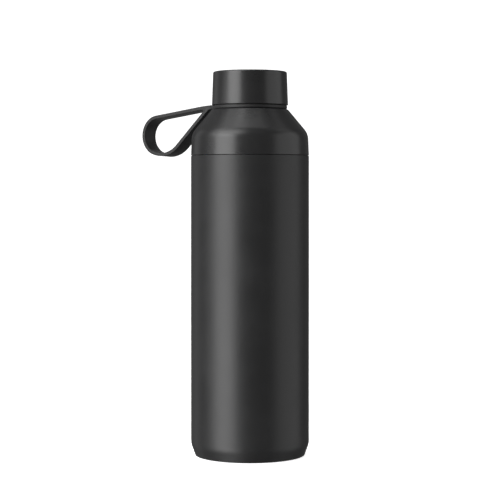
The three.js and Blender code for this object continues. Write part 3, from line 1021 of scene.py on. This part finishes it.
@dataclass
class Cap(Assembly):
    """The screw cap: shell, threaded liner, foam and steel disc. Sizes in millimetres."""

    body: str = "cap"
    wall: float = 1.4
    taper: float = 0.9
    top_fillet: float = 1.2
    bead_radius: float = 25.3
    thread_gap: float = 0.6

    def build(self, frame: dict) -> None:
        """Makes the cap's pieces."""
        self._shell()
        self._liner()
        self._disc()
        self.carry(frame, "cap_foam", FOAM)

    def _shell(self) -> None:
        """The plain outside with its slight draft."""
        shell = Extent.of("cap_shell")
        path = [
            Corner(shell.radius, shell.low),
            Corner(shell.radius - self.taper, shell.high, self.top_fillet),
            Corner(0.0, shell.high),
        ]
        outer = [Corner(path[0].r, path[0].z, 0.45), *path[1:]]
        inner = sheet_corners(path, self.wall)[3:]
        inner[-1] = Corner(inner[-1].r, inner[-1].z, 0.3)
        self.keep(spun("Cap_shell", CAP_BLACK, [*inner, *outer], False), "cap_shell")

    def _liner(self) -> None:
        """The threaded liner with its boss for the seal."""
        liner = Extent.of("cap_liner")
        seal = Extent.of("cap_seal")
        disc = Extent.of("cap_disc")
        spout_root = Collar.spout_bore + Collar.spout_wall
        bore = spout_root + CAP_THREAD.depth + self.thread_gap
        boss = disc.radius + 0.4
        ceiling = seal.high + 0.3
        corners = [
            Corner(0.0, disc.high + 0.3),
            Corner(boss, disc.high + 0.3, 0.3),
            Corner(boss, ceiling, 0.15),
            Corner(bore, ceiling, 0.3),
            Corner(bore, liner.low + 1.4, 0.3),
            Corner(self.bead_radius, liner.low, 0.2),
            Corner(liner.radius, liner.low, 0.25),
            Corner(liner.radius, liner.low + 1.5, 0.2),
            Corner(bore + 1.4, liner.low + 1.5, 0.2),
            Corner(bore + 1.4, liner.high, 0.4),
            Corner(0.0, liner.high),
        ]
        wall = (bore, Extent.of("strap_ring").high + 0.3 + CAP_THREAD.rise + CAP_THREAD.mate)
        piece = threaded("Cap_liner", LINER_BLACK, corners, CAP_THREAD, wall, True, closed=False)
        self.keep(piece, "cap_liner")

    def _disc(self) -> None:
        """The steel disc that faces the drink, pressed with a shallow step."""
        disc = Extent.of("cap_disc")
        step = disc.radius * 0.72
        corners = [
            Corner(0.0, disc.low + 0.2),
            Corner(step, disc.low + 0.2, 0.6),
            Corner(step + 1.0, disc.low, 0.6),
            Corner(disc.radius, disc.low, 0.2),
            Corner(disc.radius, disc.high, 0.2),
            Corner(0.0, disc.high),
        ]
        self.keep(spun("Cap_disc", STEEL, corners, False), "cap_disc")


@dataclass
class Seals:
    """The two loose gaskets, each on the body that carries it. Sizes in millimetres."""

    collar_bore: float = 36.8
    cap_bore: float = 18.5
    section_fillet: float = 0.45
    ridge: float = 0.12
    ridge_half: float = 0.7

    def build(self) -> None:
        """Makes both gaskets."""
        self._gasket("Collar_seal", "collar_seal", "collar_carrier", self.collar_bore)
        self._gasket("Cap_seal", "cap_seal", "cap_carrier", self.cap_bore)

    def _gasket(self, name: str, node: str, body: str, bore: float) -> None:
        """Makes one flat gasket with soft edges and a fine moulding ridge on each face."""
        seal = Extent.of(node)
        middle = (bore + seal.radius) / 2
        near, far = middle - self.ridge_half, middle + self.ridge_half
        base, top = seal.low + self.ridge, seal.high - self.ridge
        corners = [
            Corner(bore, base, self.section_fillet),
            Corner(near, base, 0.1),
            Corner(middle, seal.low, 0.2),
            Corner(far, base, 0.1),
            Corner(seal.radius, base, self.section_fillet),
            Corner(seal.radius, top, self.section_fillet),
            Corner(far, top, 0.1),
            Corner(middle, seal.high, 0.2),
            Corner(near, top, 0.1),
            Corner(bore, top, self.section_fillet),
        ]
        Assembly(body).keep(spun(name, SEAL_GREY, corners), node)


class Face(Enum):
    """A face of the strap, with its side of the strap's middle."""

    OUTER = 1
    INNER = -1


@dataclass
class Strap:
    """The moulded strap: a ring round the spout, a tail and a teardrop finger loop.

    Lengths are in millimetres and angles in radians. Its side view runs outwards from the bottle's axis.

    Attributes:
        ring: Where the ring lies.
        ring_bore: The ring's inside radius.
        ring_edge: Rounding of the ring's outer edge.
        thickness: Of the legs and the loop.
        width: Across the legs and the loop.
        tail_length: From the ring to the line where the strap bends.
        tail_root: How far the tail reaches into the ring.
        tail_rise: How far the tail steps up from the ring.
        tail_bend: Half the length of the bend from the tail into the upper leg.
        elbow: Half the length of the bend from the tail into the lower leg.
        step_length: Length of the step up.
        step_over: From the ring's edge to the middle of the step on top.
        step_under: The same for the step below.
        loop_length: From the bending line to the middle of the loop's round end.
        loop_drop: From the ring down to that middle.
        end_radius: Of the round end, along the strap's middle.
        belly_radius: Of the flatter curve below it.
        belly_start: Where the round end hands over to the belly.
        upper_angle: Slope of the upper leg.
        lower_angle: Slope of the lower leg.
        crotch: Fillet where the legs part.
        edge: Width of the edges' rounding.
        flare: How much wider the tail is at the ring.
        roll: Twist of the loop about its length, as a slope.
        bend_zone: How far the soft bending reaches to each side of the bending line; not used.
    """

    ring: Extent = field(default_factory=lambda: Extent.of("strap_ring"))
    ring_bore: float = 24.2
    ring_edge: float = 0.95
    thickness: float = 2.3
    width: float = 13.6
    tail_length: float = 3.35
    tail_root: float = 1.6
    tail_rise: float = 0.85
    tail_bend: float = 3.0
    elbow: float = 1.2
    step_length: float = 1.7
    step_over: float = 1.85
    step_under: float = 0.9
    loop_length: float = 52.9
    loop_drop: float = 19.95
    end_radius: float = 14.5
    belly_radius: float = 23.4
    belly_start: float = math.radians(-70)
    upper_angle: float = math.radians(-7.35)
    lower_angle: float = math.radians(-43.6)
    crotch: float = 1.2
    edge: float = 0.32
    flare: float = 1.25
    roll: float = 0.038
    bend_zone: tuple[float, float] = (2.2, 2.6)

    @property
    def middle(self) -> float:
        """Height of the ring's middle."""
        return (self.ring.low + self.ring.high) / 2

    @property
    def half(self) -> float:
        """Half the ring's thickness."""
        return (self.ring.high - self.ring.low) / 2

    @property
    def flex(self) -> float:
        """Distance from the bottle's axis to the line where the strap bends."""
        return self.ring.radius + self.tail_length

    def build(self) -> bpy.types.Object:
        """Makes the strap as one fixed moulding, its outline shaped with a bend where the tail ends."""
        bm = bmesh.new()
        self._loop(bm)
        self._ring(bm)
        made = finish_mesh(bm, "Carry_strap", STRAP_BLACK, 50.0)
        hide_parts("strap_ring", "strap_loop")
        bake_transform(made)
        LOG.info("%s: %d faces, bends between strap and loop", made.name, len(made.data.polygons))
        return made

    def _ring(self, bm: bmesh.types.BMesh) -> None:
        """Adds the ring, with a rounded outer edge."""
        corners = [
            Corner(self.ring_bore, self.ring.low, 0.3),
            Corner(self.ring.radius, self.ring.low, self.ring_edge),
            Corner(self.ring.radius, self.ring.high, self.ring_edge),
            Corner(self.ring_bore, self.ring.high, 0.3),
        ]
        spin_section(bm, rounded(corners, True), True)

    def _curve(self, face: Face) -> tuple[Vector, Vector, float, float]:
        """Returns the centres of the round end and the belly, and their radii on a face."""
        half = face.value * self.thickness / 2
        end = Vector((self.flex + self.loop_length, self.middle - self.loop_drop))
        belly = end + heading(self.belly_start) * (self.end_radius - self.belly_radius)
        return end, belly, self.end_radius + half, self.belly_radius + half

    def _leg(self, face: Face, upper: bool, x: float) -> Vector:
        """Returns the point of a leg's face at a distance x from the bottle's axis."""
        end, belly, end_radius, belly_radius = self._curve(face)
        if upper:
            slope = self.upper_angle
            touch = end + heading(slope + math.pi / 2) * end_radius
        else:
            slope = self.lower_angle
            touch = belly + heading(slope - math.pi / 2) * belly_radius
        return Vector((x, touch.y + math.tan(slope) * (x - touch.x)))

    def _reach(self, upper: bool, height: float) -> Vector:
        """Returns where the outer face of a leg, drawn on, reaches a height."""
        straight = self._leg(Face.OUTER, upper, self.flex)
        slope = math.tan(self.upper_angle if upper else self.lower_angle)
        return Vector((self.flex + (height - straight.y) / slope, height))

    def _round(self, face: Face, steps: int) -> list[Vector]:
        """Returns points from the upper leg round the end and the belly to the lower leg."""
        end, belly, end_radius, belly_radius = self._curve(face)
        points = []
        arcs = (
            (end, end_radius, self.upper_angle + math.pi / 2, self.belly_start),
            (belly, belly_radius, self.belly_start, self.lower_angle - math.pi / 2),
        )
        for number, (centre, radius, first, last) in enumerate(arcs):
            for k in range(number, steps + 1):
                angle = first + (last - first) * k / steps
                points.append(centre + heading(angle) * radius)
        return points

    @staticmethod
    def _between(first: Vector, last: Vector, steps: int) -> list[Vector]:
        """Returns evenly spaced points after the first, up to and with the last."""
        return [first.lerp(last, k / steps) for k in range(1, steps + 1)]

    @staticmethod
    def _bow(first: Vector, control: Vector, last: Vector, steps: int) -> list[Vector]:
        """Returns points after the first, up to and with the last, on a curve pulled towards the control."""
        shares = [k / steps for k in range(1, steps + 1)]
        return [first * (1 - t) ** 2 + control * (2 * t * (1 - t)) + last * t**2 for t in shares]

    def _step(self, level: float, outwards: float) -> list[Vector]:
        """Returns the soft step, seen from the side, by which the tail's face leaves the ring's.

        Args:
            level: Height of the ring's face.
            outwards: Distance from the ring's edge to the middle of the step.

        Returns:
            The step's points, outwards from the ring.
        """
        middle = self.flex - self.tail_length + outwards
        points = []
        for k in range(9):
            t = k / 8
            rise = self.tail_rise * t * t * (3 - 2 * t)
            points.append(Vector((middle + (t - 0.5) * self.step_length, level + rise)))
        return points

    def _outer_line(self, root: float) -> list[Vector]:
        """Returns the strap's outer line, from the ring over the tail, round the loop and back."""
        top, base = self.middle + self.half, self.middle - self.half
        points = [Vector((root, top))]
        step = self._step(top, self.step_over)
        points += [*self._between(points[-1], step[0], 4), *step[1:]]
        corner = self._reach(True, step[-1].y)
        points += self._between(points[-1], Vector((corner.x - self.tail_bend, corner.y)), 12)
        join = self._leg(Face.OUTER, True, corner.x + self.tail_bend)
        points += self._bow(points[-1], corner, join, 8)
        turn = self._round(Face.OUTER, 26)
        points += self._between(join, turn[0], 24)
        points += turn[1:]
        under = self._step(base, self.step_under)
        corner = self._reach(False, under[-1].y)
        low = self._leg(Face.OUTER, False, corner.x + self.elbow)
        points += self._between(turn[-1], low, 20)
        points += self._bow(low, corner, Vector((corner.x - self.elbow, corner.y)), 4)
        points += self._between(points[-1], under[-1], 6)
        points += under[-2::-1]
        points += self._between(points[-1], Vector((root, base)), 4)
        return points

    def _inner_line(self) -> list[Vector]:
        """Returns the finger gap's line, from the crotch along the upper leg, round and back."""
        half = (self.upper_angle - self.lower_angle) / 2
        lean = (self.upper_angle + self.lower_angle) / 2
        probe = self.flex + 4.0
        above, below = self._leg(Face.INNER, True, probe), self._leg(Face.INNER, False, probe)
        closing = math.tan(self.upper_angle) - math.tan(self.lower_angle)
        crotch = self._leg(Face.INNER, True, probe + (below.y - above.y) / closing)
        centre = crotch + heading(lean) * (self.crotch / math.sin(half))
        first, last = self.lower_angle - math.pi / 2 + TURN, self.upper_angle + math.pi / 2
        points = []
        for k in range(11):
            angle = first + (last - first) * k / 10
            points.append(centre + heading(angle) * self.crotch)
        turn = self._round(Face.INNER, 26)
        points += self._between(points[-1], turn[0], 24)
        points += turn[1:]
        points += self._between(turn[-1], points[0], 20)[:-1]
        return points

    def _loop(self, bm: bmesh.types.BMesh) -> None:
        """Adds the tail and the loop: a side face between two outlines, drawn out to the width."""
        half = self.width / 2
        root = self.ring.radius - self.tail_root
        rims = []
        for line in (self._outer_line(root), self._inner_line()):
            verts = [bm.verts.new((-p.x * MM, -half * MM, p.y * MM)) for p in line]
            rims.append([bm.edges.new((verts[i - 1], verts[i])) for i in range(len(verts))])
        side = bmesh.ops.triangle_fill(bm, use_beauty=True, use_dissolve=False, edges=[*rims[0], *rims[1]])
        faces = [f for f in side["geom"] if isinstance(f, bmesh.types.BMFace)]
        drawn = bmesh.ops.extrude_face_region(bm, geom=faces)
        moved = [g for g in drawn["geom"] if isinstance(g, bmesh.types.BMVert)]
        bmesh.ops.translate(bm, verts=moved, vec=(0, self.width * MM, 0))
        bmesh.ops.recalc_face_normals(bm, faces=bm.faces[:])
        edges = [e for e in bm.edges if e.is_manifold and e.calc_face_angle(0.0) > math.radians(60)]
        bmesh.ops.bevel(
            bm,
            geom=edges,
            offset=self.edge * MM,
            offset_type="OFFSET",
            affect="EDGES",
            segments=3,
            profile=0.5,
            material=-1,
            clamp_overlap=True,
        )
        reach = (self.flex + 3.0) * MM
        for vert in bm.verts:
            near = (vert.co.x + reach) / (reach - root * MM)
            if near > 0:
                vert.co.y *= 1 + (self.flare - 1) * min(near, 1.0) ** 2
            else:
                twist = min(1.0, -near)
                vert.co.z -= self.roll * twist * vert.co.y


# ---------------------------------------------------------------- studio


@dataclass(frozen=True)
class Softbox:
    """A soft light aimed at the bottle.

    Attributes:
        name: The light's name.
        azimuth: Degrees to the right of the camera, as seen from the bottle.
        height: Height of its middle, in metres.
        distance: From the bottle's axis, in metres.
        size: Width and height, in metres.
        power: Watts.
    """

    name: str
    azimuth: float
    height: float
    distance: float
    size: tuple[float, float]
    power: float

    def build(self, toward: float) -> None:
        """Adds the light.

        Args:
            toward: The camera's azimuth, in degrees.
        """
        data = bpy.data.lights.new(self.name, "AREA")
        data.shape = "RECTANGLE"
        data.size, data.size_y = self.size
        data.energy = self.power
        lamp = bpy.data.objects.new(self.name, data)
        angle = math.radians(toward + self.azimuth)
        lamp.location = (math.sin(angle) * self.distance, -math.cos(angle) * self.distance, self.height)
        aim = AIM - lamp.location
        lamp.rotation_euler = aim.to_track_quat("-Z", "Y").to_euler()
        lamp.visible_camera = False
        bpy.context.scene.collection.objects.link(lamp)


AIM = Vector((0.0, 0.0, 0.16))  # the point that every light faces, in metres
SOFTBOXES = (
    Softbox("Key", -50.0, 0.16, 1.6, (1.16, 2.0), 33.0),
    Softbox("Key side", -80.0, 0.16, 1.6, (0.56, 2.0), 2.4),
    Softbox("Key high", -60.0, 1.29, 1.13, (1.4, 1.4), 12.0),
    Softbox("Key brow", -44.0, 1.3, 1.2, (1.4, 0.5), 4.6),
    Softbox("Key low", -42.0, -0.76, 1.31, (0.86, 0.9), 4.6),
    Softbox("Fill", 80.0, 0.16, 1.6, (1.85, 2.0), 10.6),
    Softbox("Fill low", 75.0, -0.76, 1.31, (0.86, 0.9), 0.7),
    Softbox("Fill high", 90.0, 1.29, 1.13, (0.86, 0.9), 1.1),
    Softbox("Top", -165.0, 1.72, 0.38, (0.9, 0.9), 12.0),
    Softbox("Rear left", -125.0, 0.16, 1.6, (0.56, 2.0), 1.2),
)


@dataclass(frozen=True)
class Studio:
    """Floor, backdrop, lights and camera. Lengths in metres, angles in degrees."""

    azimuth: float = 36.0
    distance: float = 1.208
    eye: float = 0.201
    rise: float = 0.124
    lens: float = 115.2
    wall: float = 3.0
    wall_top: float = 5.0
    cove: float = 1.2
    drop: float = 0.0003

    def build(self) -> None:
        """Makes the stage round the bottle."""
        self._sweep()
        for box in SOFTBOXES:
            box.build(self.azimuth)
        self._world()
        self._camera()
        LOG.info("studio: %d soft lights", len(SOFTBOXES))

    def _sweep(self) -> None:
        """A round pale floor that curves up into a wall on every side."""
        steps = 16
        flat, bend = self.wall - self.cove, self.cove
        points = [(0.0, -self.drop)]
        for k in range(steps + 1):
            angle = math.pi / 2 * k / steps
            points.append((flat + bend * math.sin(angle), bend * (1 - math.cos(angle)) - self.drop))
        points.append((self.wall, self.wall_top))
        bm = bmesh.new()
        spin_section(bm, [(r / MM, z / MM) for r, z in points], closed=False)
        bm.normal_update()
        under = [f for f in bm.faces if f.normal.dot(f.calc_center_median() - Vector((0.0, 0.0, 1.0))) > 0]
        bmesh.ops.reverse_faces(bm, faces=under)
        for face in bm.faces:
            face.smooth = True
        mesh = bpy.data.meshes.new("Sweep")
        bm.to_mesh(mesh)
        bm.free()
        mesh.materials.append(self._paper())
        sweep = bpy.data.objects.new("Sweep", mesh)
        bpy.context.scene.collection.objects.link(sweep)
        sweep.visible_glossy = False
        sweep.visible_diffuse = False
        sweep.visible_shadow = False
        sweep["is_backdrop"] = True

    def _paper(self) -> bpy.types.Material:
        """Near-white paper with the faintest mottle, clear from behind so that the underside can be seen."""
        made = bpy.data.materials.new("Paper")
        made.use_nodes = True
        tree = Wiring(made.node_tree)
        shader = made.node_tree.nodes["Principled BSDF"]
        place = tree.node("ShaderNodeTexCoord").outputs["Object"]
        mottle = tree.noise(place, 9.0)
        color = tree.mix(mottle, (0.9, 0.9, 0.9, 1.0), (0.93, 0.93, 0.93, 1.0))
        tree.join(color, shader.inputs["Base Color"])
        shader.inputs["Roughness"].default_value = 0.9
        shader.inputs["Specular IOR Level"].default_value = 0.1
        tree.join(color, shader.inputs["Emission Color"])
        shader.inputs["Emission Strength"].default_value = 0.95
        clear = tree.node("ShaderNodeBsdfTransparent").outputs["BSDF"]
        choice = tree.node("ShaderNodeMixShader")
        tree.join(tree.node("ShaderNodeNewGeometry").outputs["Backfacing"], choice.inputs["Fac"])
        tree.join(shader.outputs["BSDF"], choice.inputs[1])
        tree.join(clear, choice.inputs[2])
        target = made.node_tree.nodes["Material Output"]
        tree.join(choice.outputs["Shader"], target.inputs["Surface"])
        return made

    def _world(self) -> None:
        """A dim even surround."""
        world = bpy.data.worlds.new("Surround")
        world.use_nodes = True
        back = world.node_tree.nodes["Background"]
        back.inputs["Color"].default_value = (1.0, 1.0, 1.0, 1.0)
        back.inputs["Strength"].default_value = 0.13
        bpy.context.scene.world = world

    def _camera(self) -> None:
        """The camera, on the bottle's left front and level with its shoulder."""
        data = bpy.data.cameras.new("Camera")
        data.lens = self.lens
        data.sensor_width = 36.0
        data.shift_y = -self.rise
        data.clip_end = 50.0
        camera = bpy.data.objects.new("Camera", data)
        angle = math.radians(self.azimuth)
        camera.location = (math.sin(angle) * self.distance, -math.cos(angle) * self.distance, self.eye)
        camera.rotation_euler = (math.radians(90), 0.0, angle)
        bpy.context.scene.collection.objects.link(camera)
        bpy.context.scene.camera = camera


def write_sizes(before: object, after: object) -> None:
    """Builds plain lists of the bounds of the CAD and of the finished visual, then drops them.
    """

    def plain(value: object) -> object:
        """Returns nested vectors as plain lists."""
        if isinstance(value, (int, float)):
            return float(value)
        return [plain(v) for v in value]

    {"cad": plain(before), "visual": plain(after)}


def main() -> None:
    """Builds the bottle and its studio."""
    logging.basicConfig(level=logging.INFO, format="%(name)s %(message)s")
    bpy.ops.wm.read_factory_settings(use_empty=True)
    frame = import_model()
    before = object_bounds()
    bpy.context.scene.view_settings.view_transform = "Standard"
    SteelBottle().build(frame)
    Collar().build(frame)
    Seals().build()
    Strap().build()
    Cap().build(frame)
    Studio().build()
    write_sizes(before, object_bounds())


if __name__ == "__main__":
    main()
